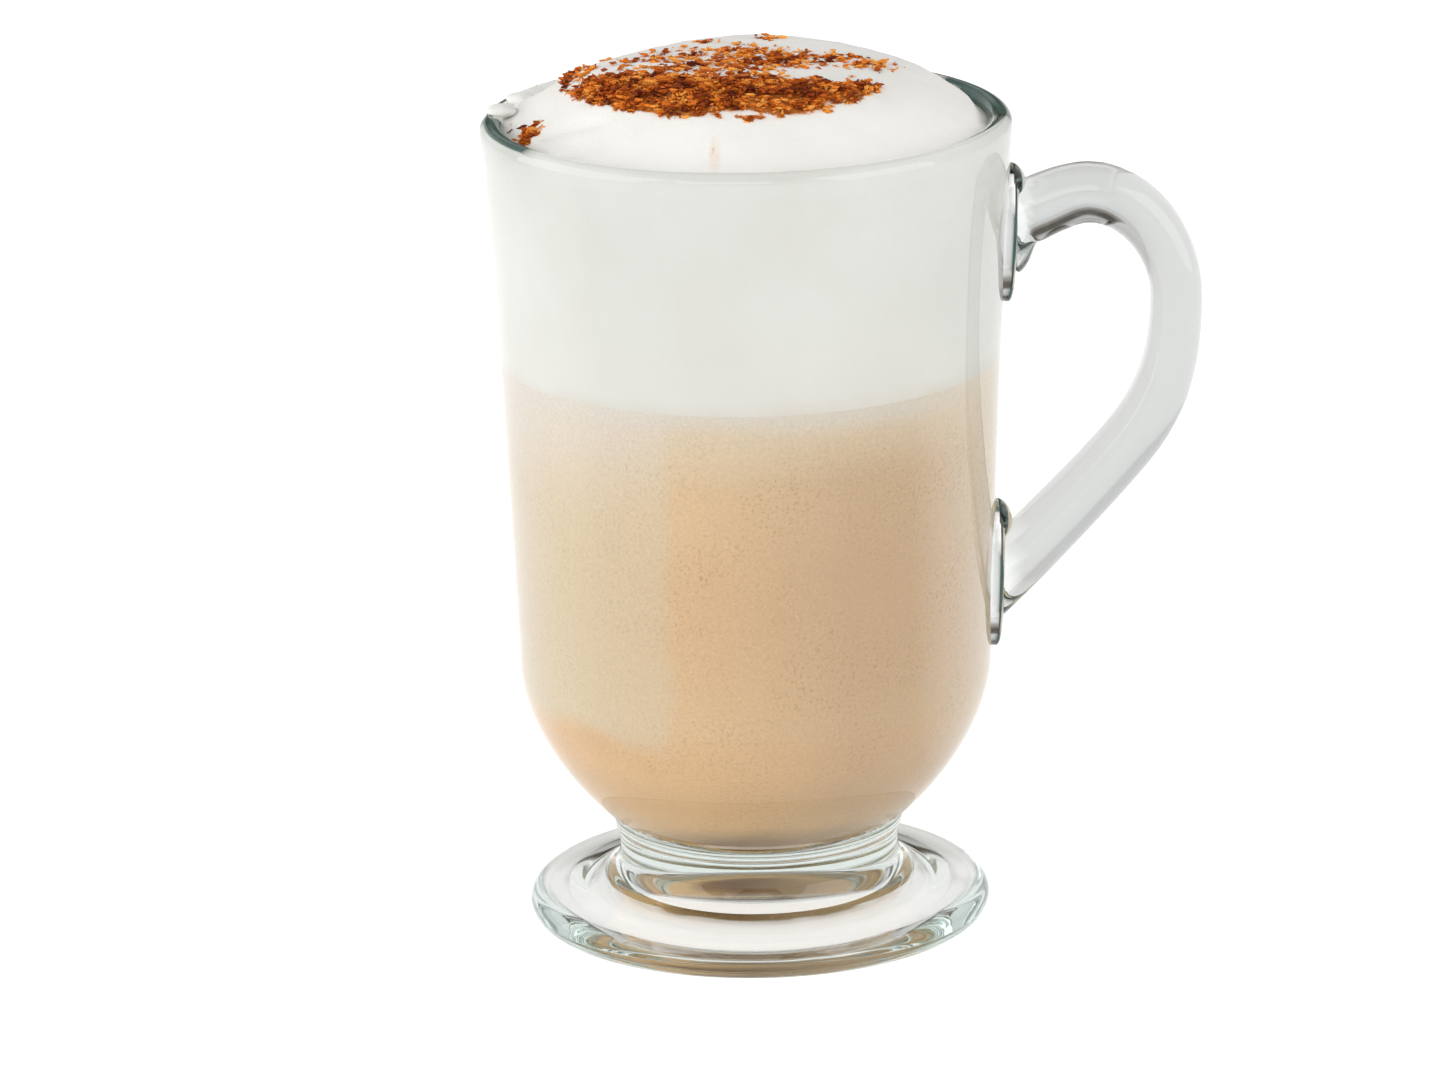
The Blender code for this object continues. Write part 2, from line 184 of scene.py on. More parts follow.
def smoothed(piece, crease):
    """Shades the piece smooth, except across edges sharper than the crease."""
    piece.data.shade_smooth()
    piece.data.set_sharp_from_angle(angle=crease)
    return piece


def piece_from(shape, name, crease=TURNED_CREASE):
    """An object of this bmesh, at the origin, smooth except across its creases."""
    mesh = bpy.data.meshes.new(name)
    shape.to_mesh(mesh)
    shape.free()
    piece = bpy.data.objects.new(name, mesh)
    bpy.context.scene.collection.objects.link(piece)
    return smoothed(piece, crease)


def settled(piece):
    """The piece with its modifiers made part of its mesh."""
    bpy.context.view_layer.update()
    graph = bpy.context.evaluated_depsgraph_get()
    mesh = bpy.data.meshes.new_from_object(piece.evaluated_get(graph))
    piece.modifiers.clear()
    old = piece.data
    piece.data = mesh
    bpy.data.meshes.remove(old)
    return piece


def carve(piece, other, operation):
    """Fuses another piece on, or cuts it away, and removes it."""
    step = piece.modifiers.new(operation.lower(), "BOOLEAN")
    step.operation = operation
    step.object = other
    step.solver = "MANIFOLD"
    settled(piece)
    bpy.data.objects.remove(other)
    return piece


HANDLE_WIDTH = 10.6 * MM
HANDLE_DEPTH = 8.7 * MM
HANDLE_MOST_WIDENED = 1.06
HANDLE_SECTION_POWER = 2.6
HANDLE_SIDES = 40
HANDLE_STRETCH_STEPS = 12
# Each stop of the bar: its place off the mug's axis, the way it runs there, how far
# its curve reaches back and ahead, and how much the bar swells.
HANDLE_STOPS = (
    ((36.2 * MM, 104.0 * MM), (0.80, 0.60), 1.0 * MM, 1.6 * MM, 1.50),
    ((41.0 * MM, 107.6 * MM), (0.93, 0.37), 2.0 * MM, 3.2 * MM, 1.06),
    ((50.3 * MM, 110.5 * MM), (1.0, 0.0), 3.2 * MM, 6.7 * MM, 1.0),
    ((63.2 * MM, 95.0 * MM), (0.0, -1.0), 8.0 * MM, 9.0 * MM, 0.90),
    ((56.1 * MM, 72.5 * MM), (-0.63, -0.78), 8.5 * MM, 7.0 * MM, 0.98),
    ((33.6 * MM, 49.0 * MM), (-0.73, -0.68), 9.0 * MM, 1.0 * MM, 1.05),
)
CORE_STEPS = 12
LUMP_SEGMENTS = 40
LUMP_RINGS = 24
PAD_WIDTH = 13.0 * MM
PAD_PROUD = 1.7 * MM
PAD_BLUNTNESS = 0.4
PAD_SPANS = ((94.4 * MM, 114.6 * MM), (41.4 * MM, 63.2 * MM))
KNOB_BELOW_TOP = 2.7 * MM
KNOB_SIZE = (2.6 * MM, 4.8 * MM, 3.2 * MM)


def bezier(ends, reaches, share):
    """A place on the curve between two stops, and the way it runs there."""
    a, d = (Vector(end[0]) for end in ends)
    b = a + Vector(ends[0][1]).normalized() * reaches[0]
    c = d - Vector(ends[1][1]).normalized() * reaches[1]
    left = 1 - share
    place = a * left**3 + b * 3 * left**2 * share + c * 3 * left * share**2 + d * share**3
    way = (b - a) * left**2 + (c - b) * 2 * left * share + (d - c) * share**2
    return place, way.normalized()


def bar_stations():
    """Frames along the handle's bar. Each takes a flat unit section to its place."""
    stations = []
    for first, last in zip(HANDLE_STOPS, HANDLE_STOPS[1:]):
        for i in range(HANDLE_STRETCH_STEPS):
            stations.append((first, last, i / HANDLE_STRETCH_STEPS))
    stations.append((*HANDLE_STOPS[-2:], 1.0))
    frames = []
    for first, last, share in stations:
        place, way = bezier((first, last), (first[3], last[2]), share)
        swell = first[4] + (last[4] - first[4]) * (3 * share**2 - 2 * share**3)
        across = Vector((-way.y, 0, way.x)) * swell * HANDLE_DEPTH / 2
        along = Vector((0, -1, 0)) * min(swell, HANDLE_MOST_WIDENED) * HANDLE_WIDTH / 2
        ahead = Vector((way.x, 0, way.y))
        spot = Vector((AXIS_X + place.x, 0, place.y))
        turn = Matrix((across, along, ahead)).transposed().to_4x4()
        frames.append(Matrix.Translation(spot) @ turn)
    return frames


def handle_bar():
    """The bar: a rounded section pushed along its stations and capped."""
    shape = bmesh.new()
    bmesh.ops.create_circle(shape, cap_ends=False, segments=HANDLE_SIDES, radius=1)
    for corner in shape.verts:
        for i in (0, 1):
            size = abs(corner.co[i]) ** (2 / HANDLE_SECTION_POWER)
            corner.co[i] = math.copysign(size, corner.co[i])
    frames = bar_stations()
    bmesh.ops.transform(shape, matrix=frames[0], verts=shape.verts)
    front = shape.edges[:]
    for before, after in zip(frames, frames[1:]):
        grown = bmesh.ops.extrude_edge_only(shape, edges=front)["geom"]
        moved = [part for part in grown if isinstance(part, bmesh.types.BMVert)]
        front = [part for part in grown if isinstance(part, bmesh.types.BMEdge)]
        bmesh.ops.transform(shape, matrix=after @ before.inverted(), verts=moved)
        front = [edge for edge in front if all(end in moved for end in edge.verts)]
    bmesh.ops.holes_fill(shape, edges=shape.edges, sides=HANDLE_SIDES)
    bmesh.ops.recalc_face_normals(shape, faces=shape.faces)
    return piece_from(shape, "handle_bar")


def wall_core():
    """The bowl filled out to the middle of its wall, to trim the bar's ends."""
    heights = spaced(RIM_HEIGHT, SHOULDER_HEIGHT, CORE_STEPS)
    section = [(0, RIM_HEIGHT)]
    section += [(bowl_outside(z) - WALL / 2, z) for z in heights]
    section.append((0, SHOULDER_HEIGHT))
    return piece_from(turned(section, GLASS_STEPS), "wall_core")


def blob(name, size, place, lean=0.0, bluntness=1.0):
    """A rounded lump of the given half sizes, flatter faced when it is blunt."""
    shape = bmesh.new()
    bmesh.ops.create_uvsphere(shape, u_segments=LUMP_SEGMENTS, v_segments=LUMP_RINGS, radius=1)
    for corner in shape.verts:
        corner.co.x = math.copysign(abs(corner.co.x) ** bluntness, corner.co.x)
        corner.co.y = math.copysign(abs(corner.co.y) ** bluntness**0.5, corner.co.y)
    turn = Matrix.Rotation(lean, 4, "Y") @ Matrix.Diagonal((*size, 1))
    bmesh.ops.transform(shape, matrix=Matrix.Translation(place) @ turn, verts=shape.verts)
    return piece_from(shape, name)


def pressed_pad(span):
    """One pad on the wall with its blunt knob, as one lump."""
    bottom, top = span
    middle = (bottom + top) / 2
    lean = math.atan2(bowl_outside(top) - bowl_outside(bottom), top - bottom)
    place = (AXIS_X + bowl_outside(middle), 0, middle)
    size = (PAD_PROUD, PAD_WIDTH / 2, (top - bottom) / 2)
    height = top - KNOB_BELOW_TOP
    knob = blob("knob", KNOB_SIZE, (AXIS_X + bowl_outside(height), 0, height))
    return carve(blob("pad", size, place, lean, PAD_BLUNTNESS), knob, "UNION")


# Where one looks lengthwise into thick glass it shows deep green: on the rim, on the
# pads' edges and feet, and a little through the handle. Here that green, with the dark
# room seen through the glass's edges, is painted shade set for one view. Each arc of
# the rim has its two angles, how far across the wall it lies, and how far down it reaches.
PAINTED_DEEP_ARCS = (
    (math.radians(-184), math.radians(-143), -0.3, 0.86, 4.5 * MM),
    (math.radians(-187), math.radians(-174), 0.5, 1.1, 4.5 * MM),
    (math.radians(-9), math.radians(32), -0.2, 0.97, 4.5 * MM),
    (math.radians(25), math.radians(39), 0.15, 0.9, 1.2 * MM),
    (math.radians(30), math.radians(60), 0.40, 0.8, 1.1 * MM),
    (math.radians(116), math.radians(170), 0.40, 0.8, 1.1 * MM),
)
ARC_FADE = math.radians(5)
PAD_EDGE = (5.65 * MM, 6.1 * MM)
PAD_OFF_WALL = (0.1 * MM, 3.0 * MM)
PAD_FOOT = (2.2 * MM, 4.2 * MM)
# The handle's painted deep-green shade, and the share from which a face by the wall turns to opaque
# painted shade.
HANDLE_PAINTED_DEEP = 0.29
PAINTED_DEEP_FROM = 0.6


def soft_step(value, start, end):
    share = max(0.0, min(1.0, (value - start) / (end - start)))
    return share * share * (3 - 2 * share)


def along_arc(x, y, first, last, fade):
    """1 between two angles round the axis, falling to 0 over the fade at both ends."""
    angle = math.atan2(y, x)
    angle -= math.tau if angle > last + math.pi else 0
    return soft_step(angle, first, first + fade) * soft_step(-angle, -last, fade - last)


def handle_painted_deepness(x, y, z):
    """How much painted deep-green shade the handle or a pad takes at a place, from 0 to 1."""
    off_wall = x - bowl_outside(max(z, SHOULDER_HEIGHT))
    if off_wall > PAD_OFF_WALL[1]:
        return HANDLE_PAINTED_DEEP
    for bottom, top in PAD_SPANS:
        if bottom < z < top and off_wall > PAD_OFF_WALL[0]:
            foot = soft_step(bottom + PAD_FOOT[1] - z, 0, PAD_FOOT[1] - PAD_FOOT[0])
            return max(foot, soft_step(abs(y), *PAD_EDGE))
    return 0.0


def rim_painted_deepness(x, y, z):
    """How much painted deep-green shade the rim takes at a place, from 0 to 1."""
    across = (math.hypot(x, y) - bowl_inside(z)) / WALL
    painted_deepness = 0.0
    for first, last, inner, outer, depth in PAINTED_DEEP_ARCS:
        if inner < across < outer and z > RIM_HEIGHT - depth:
            painted_deepness = max(painted_deepness, along_arc(x, y, first, last, ARC_FADE))
    return painted_deepness


def mark_painted_deep_glass(piece):
    """Keeps the painted deep-green shade at each point, and gives its deepest faces the opaque
    painted shade.
    """
    marks = piece.data.attributes.new("deep", "FLOAT", "POINT")
    for corner, mark in zip(piece.data.vertices, marks.data):
        x, y, z = corner.co.x - AXIS_X, corner.co.y, corner.co.z
        mark.value = max(handle_painted_deepness(x, y, z), rim_painted_deepness(x, y, z))
    for face in piece.data.polygons:
        x, y, z = face.center.x - AXIS_X, face.center.y, face.center.z
        near_wall = math.hypot(x, y) - bowl_outside(max(z, SHOULDER_HEIGHT)) < PAD_OFF_WALL[1]
        deep = min(marks.data[i].value for i in face.vertices) > PAINTED_DEEP_FROM
        face.material_index = 1 if deep and near_wall else 0


def shader_tree(name):
    """A new material, its node tree and its output."""
    material = bpy.data.materials.new(name)
    material.use_nodes = True
    tree = material.node_tree
    tree.nodes.clear()
    return material, tree, tree.nodes.new("ShaderNodeOutputMaterial")


def feed(tree, socket, value):
    """Links another node's socket to this one, or sets this one to a number or colour."""
    if isinstance(value, bpy.types.NodeSocket):
        tree.links.new(value, socket)
    else:
        socket.default_value = value


def object_place(tree):
    return tree.nodes.new("ShaderNodeTexCoord").outputs["Object"]


def kept_mark(tree, name):
    """What a mesh keeps at its points under this name."""
    mark = tree.nodes.new("ShaderNodeAttribute")
    mark.attribute_name = name
    return mark.outputs["Fac"]


def noise_at(tree, place, scale, detail=2.0, roughness=0.5):
    node = tree.nodes.new("ShaderNodeTexNoise")
    node.inputs["Scale"].default_value = scale
    node.inputs["Detail"].default_value = detail
    node.inputs["Roughness"].default_value = roughness
    tree.links.new(place, node.inputs["Vector"])
    return node.outputs["Fac"]


def mixed(tree, blend, share, first, second):
    """A colour mix; the share and the colours may be values or sockets."""
    node = tree.nodes.new("ShaderNodeMix")
    node.data_type = "RGBA"
    node.blend_type = blend
    # Its sockets go by number, because it has several of each name.
    feed(tree, node.inputs[0], share)
    feed(tree, node.inputs[6], first)
    feed(tree, node.inputs[7], second)
    return node.outputs[2]


def bump_on(tree, body, height, strength, distance):
    """Makes the body's surface rise and fall with this height."""
    bump = tree.nodes.new("ShaderNodeBump")
    bump.inputs["Strength"].default_value = strength
    bump.inputs["Distance"].default_value = distance
    tree.links.new(height, bump.inputs["Height"])
    tree.links.new(bump.outputs["Normal"], body.inputs["Normal"])


def solid_body(tree, out, colour, roughness, shine):
    """Gives the material a surface that lets no light through, and returns it."""
    body = tree.nodes.new("ShaderNodeBsdfPrincipled")
    body.inputs["Roughness"].default_value = roughness
    body.inputs["Specular IOR Level"].default_value = shine
    feed(tree, body.inputs["Base Color"], colour)
    tree.links.new(body.outputs["BSDF"], out.inputs["Surface"])
    return body


GLASS_IOR = 1.5
GLASS_COLOUR = (0.86, 0.855, 0.85, 1)
# Painted deep-green shade, mixed into the glass's colour where the mesh marks it.
GLASS_PAINTED_DEEP_COLOUR = (0.008, 0.022, 0.017, 1)
GLASS_SHADE = (0.95, 0.95, 0.94, 1)
GLASS_TINT = (0.20, 0.45, 0.38, 1)
GLASS_DENSITY = 8.0
RIPPLE_NOISE = (90, 1.0)
RIPPLE_STRETCH = (1.0, 1.0, 0.25)
RIPPLE_STRENGTH = 0.25
RIPPLE_HEIGHT = 0.25 * MM
# The opaque painted shade for the deepest marks: a cloud between two dark greens.
PAINTED_DEEP_CLOUD_SCALE = 500
PAINTED_DEEP_DARK = (0.015, 0.045, 0.036, 1)
PAINTED_DEEP_LIGHT = (0.06, 0.13, 0.11, 1)
PAINTED_DEEP_ROUGHNESS = 0.12
PAINTED_DEEP_SHINE = 0.2
GLASS_CREASE = math.radians(35)


def clear_glass():
    """Clear pressed glass: slightly wavy, faintly green through its thickness, with painted
    deep-green shade in its colour where marked.
    """
    material, tree, out = shader_tree("clear_glass")
    stretch = tree.nodes.new("ShaderNodeMapping")
    stretch.inputs["Scale"].default_value = RIPPLE_STRETCH
    tree.links.new(object_place(tree), stretch.inputs["Vector"])
    ripple = noise_at(tree, stretch.outputs["Vector"], *RIPPLE_NOISE)
    glass = tree.nodes.new("ShaderNodeBsdfPrincipled")
    # Painted deep-green shade darkens the glass's colour where the mesh marks it deep.
    shade = mixed(tree, "MIX", kept_mark(tree, "deep"), GLASS_COLOUR, GLASS_PAINTED_DEEP_COLOUR)
    tree.links.new(shade, glass.inputs["Base Color"])
    glass.inputs["Roughness"].default_value = 0.0
    glass.inputs["IOR"].default_value = GLASS_IOR
    glass.inputs["Transmission Weight"].default_value = 1.0
    bump_on(tree, glass, ripple, RIPPLE_STRENGTH, RIPPLE_HEIGHT)
    clear = tree.nodes.new("ShaderNodeBsdfTransparent")
    clear.inputs["Color"].default_value = GLASS_SHADE
    path = tree.nodes.new("ShaderNodeLightPath")
    mix = tree.nodes.new("ShaderNodeMixShader")
    tree.links.new(path.outputs["Is Shadow Ray"], mix.inputs["Fac"])
    tree.links.new(glass.outputs["BSDF"], mix.inputs[1])
    tree.links.new(clear.outputs["BSDF"], mix.inputs[2])
    tree.links.new(mix.outputs["Shader"], out.inputs["Surface"])
    absorption = tree.nodes.new("ShaderNodeVolumeAbsorption")
    absorption.inputs["Color"].default_value = GLASS_TINT
    absorption.inputs["Density"].default_value = GLASS_DENSITY
    tree.links.new(absorption.outputs["Volume"], out.inputs["Volume"])
    return material


def painted_deep_glass():
    """Painted shade where one looks lengthwise into the glass: an opaque dark green, not clear at
    all.
    """
    material, tree, out = shader_tree("painted_deep_glass")
    cloud = noise_at(tree, object_place(tree), PAINTED_DEEP_CLOUD_SCALE)
    colour = mixed(tree, "MIX", cloud, PAINTED_DEEP_DARK, PAINTED_DEEP_LIGHT)
    solid_body(tree, out, colour, PAINTED_DEEP_ROUGHNESS, PAINTED_DEEP_SHINE)
    return material


mug = piece_from(turned(mug_section(), GLASS_STEPS), "mug")
carve(mug, carve(handle_bar(), wall_core(), "DIFFERENCE"), "UNION")
for span in PAD_SPANS:
    carve(mug, pressed_pad(span), "UNION")
smoothed(mug, GLASS_CREASE)
mug.data.materials.clear()
mug.data.materials.append(clear_glass())
mug.data.materials.append(painted_deep_glass())
mark_painted_deep_glass(mug)
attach(mug, "root")
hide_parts("glass_mug")

# Milky coffee
# Espresso stirred into hot milk, opaque and tan. It fills the bowl up to the foam and
# turns paler where the foam drains into it. Its colour also carries painted light on the
# left, painted shade on the right and at the bottom, and painted reflections at its edges.

INTO_GLASS = 0.2 * MM
COFFEE_LEVEL = 86.6 * MM
COFFEE_BOTTOM_STEPS = 20
COFFEE_WALL_STEPS = 14
DRINK_STEPS = 144


def coffee_body():
    section = rounded_bottom(COFFEE_BOTTOM_STEPS, INTO_GLASS)
    heights = spaced(INNER_SHOULDER_HEIGHT, COFFEE_LEVEL, COFFEE_WALL_STEPS)[1:]
    section += [(bowl_inside(z) + INTO_GLASS, z) for z in heights]
    section.append((0, COFFEE_LEVEL))
    return piece_from(turned(section, DRINK_STEPS), "milky_coffee")


# The coffee's tan, from the bowl's bottom up to the foam. Its lowest stop is painted shade
# at the bottom, and the stops just above it are painted light low in the bowl.
COFFEE_SPAN = (22 * MM, COFFEE_LEVEL + 2 * MM)
COFFEE_TONES_AND_PAINTED_LIGHT = (
    (0.0, (0.24, 0.12, 0.055)),
    (0.035, (0.92, 0.575, 0.275)),
    (0.14, (0.90, 0.585, 0.30)),
    (0.23, (0.85, 0.565, 0.31)),
    (0.27, (0.82, 0.58, 0.34)),
    (0.57, (0.80, 0.555, 0.325)),
    (0.8, (0.83, 0.60, 0.365)),
    (0.93, (0.82, 0.67, 0.48)),
    (1.0, (0.80, 0.74, 0.66)),
)
# The paler left part is painted light and a painted reflection of a soft light: where it sets in,
# softly and then at an edge, and how strongly.
PAINTED_LIGHT_SIDE = (AXIS_X - 4 * MM, AXIS_X - 22 * MM, 0.0, 0.35)
PAINTED_LIGHT_EDGE = (AXIS_X - 9.5 * MM, AXIS_X - 12.0 * MM, 0.0, 0.35)
PAINTED_LIGHT_ABOVE = (40.0 * MM, 43.5 * MM)
PAINTED_LIGHT_TONE = (0.79, 0.70, 0.53, 1)
PAINTED_LIGHT_TOP_TONE = (0.86, 0.78, 0.71, 1)
PAINTED_LIGHT_TOP = (71 * MM, 84 * MM)
# The darker right part is painted shade. It and the specks fade towards the foam.
PAINTED_SHADE_SIDE = (AXIS_X - 4 * MM, AXIS_X + 17 * MM, 0.0, 0.66)
PAINTED_SHADE_TONE = (0.59, 0.415, 0.265, 1)
UNDER_FOAM = (78 * MM, 88 * MM, 1.0, 0.2)
# The noises that make these bounds waver: scale, detail, and how far they push.
TONE_WANDER = (40, 3.0, 4 * MM)
SIDE_WANDER = (70, 2.0, 8 * MM)
EDGE_WANDER = (150, 1.0, 3 * MM)
ABOVE_WANDER = (55, 2.0, 12 * MM)
# Painted reflections at both sides, where one looks along the glass.
LEFT_PAINTED_REFLECTION = (AXIS_X - 27 * MM, AXIS_X - 36 * MM, 0.0, 0.6)
LEFT_PAINTED_REFLECTION_TONE = (0.74, 0.68, 0.66, 1)
RIGHT_PAINTED_REFLECTION = (AXIS_X + 22 * MM, AXIS_X + 34 * MM, 0.0, 0.85)
RIGHT_PAINTED_REFLECTION_TONE = (0.91, 0.80, 0.66, 1)
# Fine specks: they gather in swarms, and are fewer under the painted light on the left.
SPECK_NOISE = (2300, 1.0)
SPECK_FROM = 0.55
SPECK_FULL = (0.0, 0.5, 0.72, 0.95)
SPECK_TONE = (0.47, 0.27, 0.11, 1)
SWARM_NOISE = (90, 1.0)
SWARMS = (0.35, 0.65, 0.1, 0.5)
MOTTLE_NOISE = (2400, 2.0)
MOTTLE = (0.3, 0.7, 0.94, 1.05)
COFFEE_ROUGHNESS = 0.6


def parts_of(tree, place):
    """How far sideways, back and up a place lies."""
    parts = tree.nodes.new("ShaderNodeSeparateXYZ")
    tree.links.new(place, parts.inputs["Vector"])
    return parts.outputs


def ramp_between(tree, stops, along):
    """A colour that goes through these (place, colour) stops."""
    ramp = tree.nodes.new("ShaderNodeValToRGB")
    ramp.color_ramp.interpolation = "EASE"
    points = ramp.color_ramp.elements
    while len(points) < len(stops):
        points.new(0.5)
    for point, (place, colour) in zip(points, stops):
        point.position = place
        point.color = (*colour, 1)
    tree.links.new(along, ramp.inputs["Fac"])
    return ramp.outputs["Color"]


def ranged(tree, value, low_in, high_in, low_out=0.0, high_out=1.0):
    node = tree.nodes.new("ShaderNodeMapRange")
    feed(tree, node.inputs["From Min"], low_in)
    feed(tree, node.inputs["From Max"], high_in)
    feed(tree, node.inputs["To Min"], low_out)
    feed(tree, node.inputs["To Max"], high_out)
    tree.links.new(value, node.inputs["Value"])
    return node.outputs["Result"]


def worked(tree, operation, *values):
    """What a sum gives; each value may be a number or a socket."""
    node = tree.nodes.new("ShaderNodeMath")
    node.operation = operation
    for socket, value in zip(node.inputs, values):
        feed(tree, socket, value)
    return node.outputs["Value"]


def wandering(tree, place, part, scale, detail, reach):
    """A part of the place, pushed on by a noise of this reach, so that edges waver."""
    return worked(tree, "MULTIPLY_ADD", noise_at(tree, place, scale, detail), reach, part)


def painted_left_light(tree, place, x, z):
    """How much painted light lies on the left part: none below a wavy line, most past an upright
    edge.
    """
    side = ranged(tree, wandering(tree, place, x, *SIDE_WANDER), *PAINTED_LIGHT_SIDE)
    edge = ranged(tree, wandering(tree, place, x, *EDGE_WANDER), *PAINTED_LIGHT_EDGE)
    above = ranged(tree, wandering(tree, place, z, *ABOVE_WANDER), *PAINTED_LIGHT_ABOVE)
    return worked(tree, "MULTIPLY", worked(tree, "ADD", side, edge), above)


def coffee_look():
    """Tan coffee, paler towards the foam, with fine dark specks, painted light left, painted shade
    right and low, and painted side reflections.
    """
    material, tree, out = shader_tree("milky_coffee")
    place = object_place(tree)
    x, _, z = parts_of(tree, place)
    height = wandering(tree, place, z, *TONE_WANDER)
    # The height ramp holds painted shade at the bottom and painted light low in the bowl.
    tan = ramp_between(tree, COFFEE_TONES_AND_PAINTED_LIGHT, ranged(tree, height, *COFFEE_SPAN))
    # Painted light and a painted reflection on the left side.
    painted_light = painted_left_light(tree, place, x, z)
    paler = mixed(tree, "MIX", ranged(tree, height, *PAINTED_LIGHT_TOP), PAINTED_LIGHT_TONE, PAINTED_LIGHT_TOP_TONE)
    colour = mixed(tree, "MIX", painted_light, tan, paler)
    fading = ranged(tree, height, *UNDER_FOAM)
    # Painted shade on the right side.
    painted_side_shade = ranged(tree, wandering(tree, place, x, *SIDE_WANDER), *PAINTED_SHADE_SIDE)
    colour = mixed(tree, "MIX", worked(tree, "MULTIPLY", painted_side_shade, fading), colour, PAINTED_SHADE_TONE)
    # Painted reflections at both sides.
    colour = mixed(tree, "MIX", ranged(tree, x, *LEFT_PAINTED_REFLECTION), colour, LEFT_PAINTED_REFLECTION_TONE)
    colour = mixed(tree, "MIX", ranged(tree, x, *RIGHT_PAINTED_REFLECTION), colour, RIGHT_PAINTED_REFLECTION_TONE)
    full = ranged(tree, painted_light, *SPECK_FULL)
    specks = ranged(tree, noise_at(tree, place, *SPECK_NOISE), SPECK_FROM, full)
    swarms = ranged(tree, noise_at(tree, place, *SWARM_NOISE), *SWARMS)
    share = worked(tree, "MULTIPLY", worked(tree, "MULTIPLY", specks, swarms), fading)
    colour = mixed(tree, "MIX", share, colour, SPECK_TONE)
    mottle = ranged(tree, noise_at(tree, place, *MOTTLE_NOISE), *MOTTLE)
    colour = mixed(tree, "MULTIPLY", 1.0, colour, mottle)
    solid_body(tree, out, colour, COFFEE_ROUGHNESS, 0.0)
    return material


coffee = coffee_body()
coffee.data.materials.append(coffee_look())
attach(coffee, "root")
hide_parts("coffee")

# Milk foam
# Fine steamed milk foam, spooned on until it heaps over the rim. It stands on the
# coffee, fills the bowl's upper part, and laps on to the rim at the back and left.

FOAM_EDGE_HEIGHT = 122.6 * MM
FOAM_RISE = 8.75 * MM
FOAM_REACH_POWER = 5.0
FOAM_CROWN_POWER = 2.0
FOAM_LEAN = 1.0 * MM
FOAM_WAVE = 0.5 * MM
FOAM_WAVE_LENGTH = 13.0 * MM
FOAM_WAVE_FADE = 6
# A low shelf at the left: its place, its rise and its spread.
FOAM_SHELF = (-31.0 * MM, 9.0 * MM, 1.2 * MM, 9.0 * MM)
FOAM_SHELF_FADE = 25
FOAM_DENT = 0.12 * MM
FOAM_DENT_LENGTH = 2.6 * MM
FOAM_FOLD = ((-29.0 * MM, -12.6 * MM), (-21.0 * MM, -17.6 * MM))
FOAM_FOLD_DEPTH = 0.55 * MM
FOAM_FOLD_WIDTH = 1.3 * MM
FOAM_RINGS = 64
FOAM_WALL_STEPS = 12
FOAM_STEPS = 240
FOAM_CREASE = math.radians(60)
# Where the foam has sunk away from the rim: from which angle to which, and how deep.
# At the back left it stands a little higher instead.
SUNKEN_ARCS = (
    (math.radians(-190), math.radians(-136), 1.5 * MM),
    (math.radians(-26), math.radians(34), 1.2 * MM),
    (math.radians(112), math.radians(176), -0.3 * MM),
)
SINK_FADE = math.radians(20)
SINK_RADII = (33.2 * MM, 35.0 * MM)


def foam_sink(x, y):
    """How far the foam's edge has sunk along the wall at a place off the mug's axis."""
    sink = 0.0
    for first, last, depth in SUNKEN_ARCS:
        near_wall = soft_step(math.hypot(x, y), *SINK_RADII)
        sink += depth * along_arc(x, y, first, last, SINK_FADE) * near_wall
    return sink


def foam_fold(x, y):
    """How deep the fold at the mound's lower left is at a place."""
    start, end = (Vector(spot) for spot in FOAM_FOLD)
    along = (Vector((x, y)) - start).dot(end - start) / (end - start).length_squared
    off = (Vector((x, y)) - start.lerp(end, max(0.0, min(1.0, along)))).length
    return FOAM_FOLD_DEPTH * math.exp(-((off / FOAM_FOLD_WIDTH) ** 2))


def foam_rise(x, y):
    """How far the heap stands above the foam's edge, at a place off the mug's axis."""
    edge = bowl_inside(FOAM_EDGE_HEIGHT)
    reach = min(1.0, math.hypot(x, y) / edge)
    leaned = min(1.0, math.hypot(x - FOAM_LEAN, y) / edge)
    rise = FOAM_RISE * (1 - leaned**FOAM_REACH_POWER) ** FOAM_CROWN_POWER
    wave = FOAM_WAVE * noise.noise(Vector((x, y, 0)) / FOAM_WAVE_LENGTH)
    rise += wave * min(1.0, FOAM_WAVE_FADE * (1 - reach))
    shelf_x, shelf_y, shelf_rise, spread = FOAM_SHELF
    shelf = shelf_rise * math.exp(-((x - shelf_x) ** 2 + (y - shelf_y) ** 2) / spread**2)
    rise += shelf * min(1.0, FOAM_SHELF_FADE * (1 - reach))
    dents = FOAM_DENT * noise.noise(Vector((x, y, 0)) / FOAM_DENT_LENGTH)
    return rise + dents - foam_fold(x, y) - foam_sink(x, y)


def foam_body():
    edge = bowl_inside(FOAM_EDGE_HEIGHT) + INTO_GLASS
    angles = spaced(0, math.pi / 2, FOAM_RINGS)
    section = [(edge * math.sin(angle), FOAM_EDGE_HEIGHT) for angle in angles]
    heights = spaced(FOAM_EDGE_HEIGHT, COFFEE_LEVEL, FOAM_WALL_STEPS)[1:]
    section += [(bowl_inside(z) + INTO_GLASS, z) for z in heights]
    section.append((0, COFFEE_LEVEL))
    shape = turned(section, FOAM_STEPS)
    for corner in shape.verts:
        if corner.co.z > FOAM_EDGE_HEIGHT - WELD:
            corner.co.z += foam_rise(corner.co.x - AXIS_X, corner.co.y)
    return piece_from(shape, "milk_foam_heap", FOAM_CREASE)


LAP_HEIGHT = 123.5 * MM
LAP_FINENESS = 4
LAP_UNEVENNESS = 0.16
LAP_NOISE = 1.2
LAP_NOISE_STEP = 9
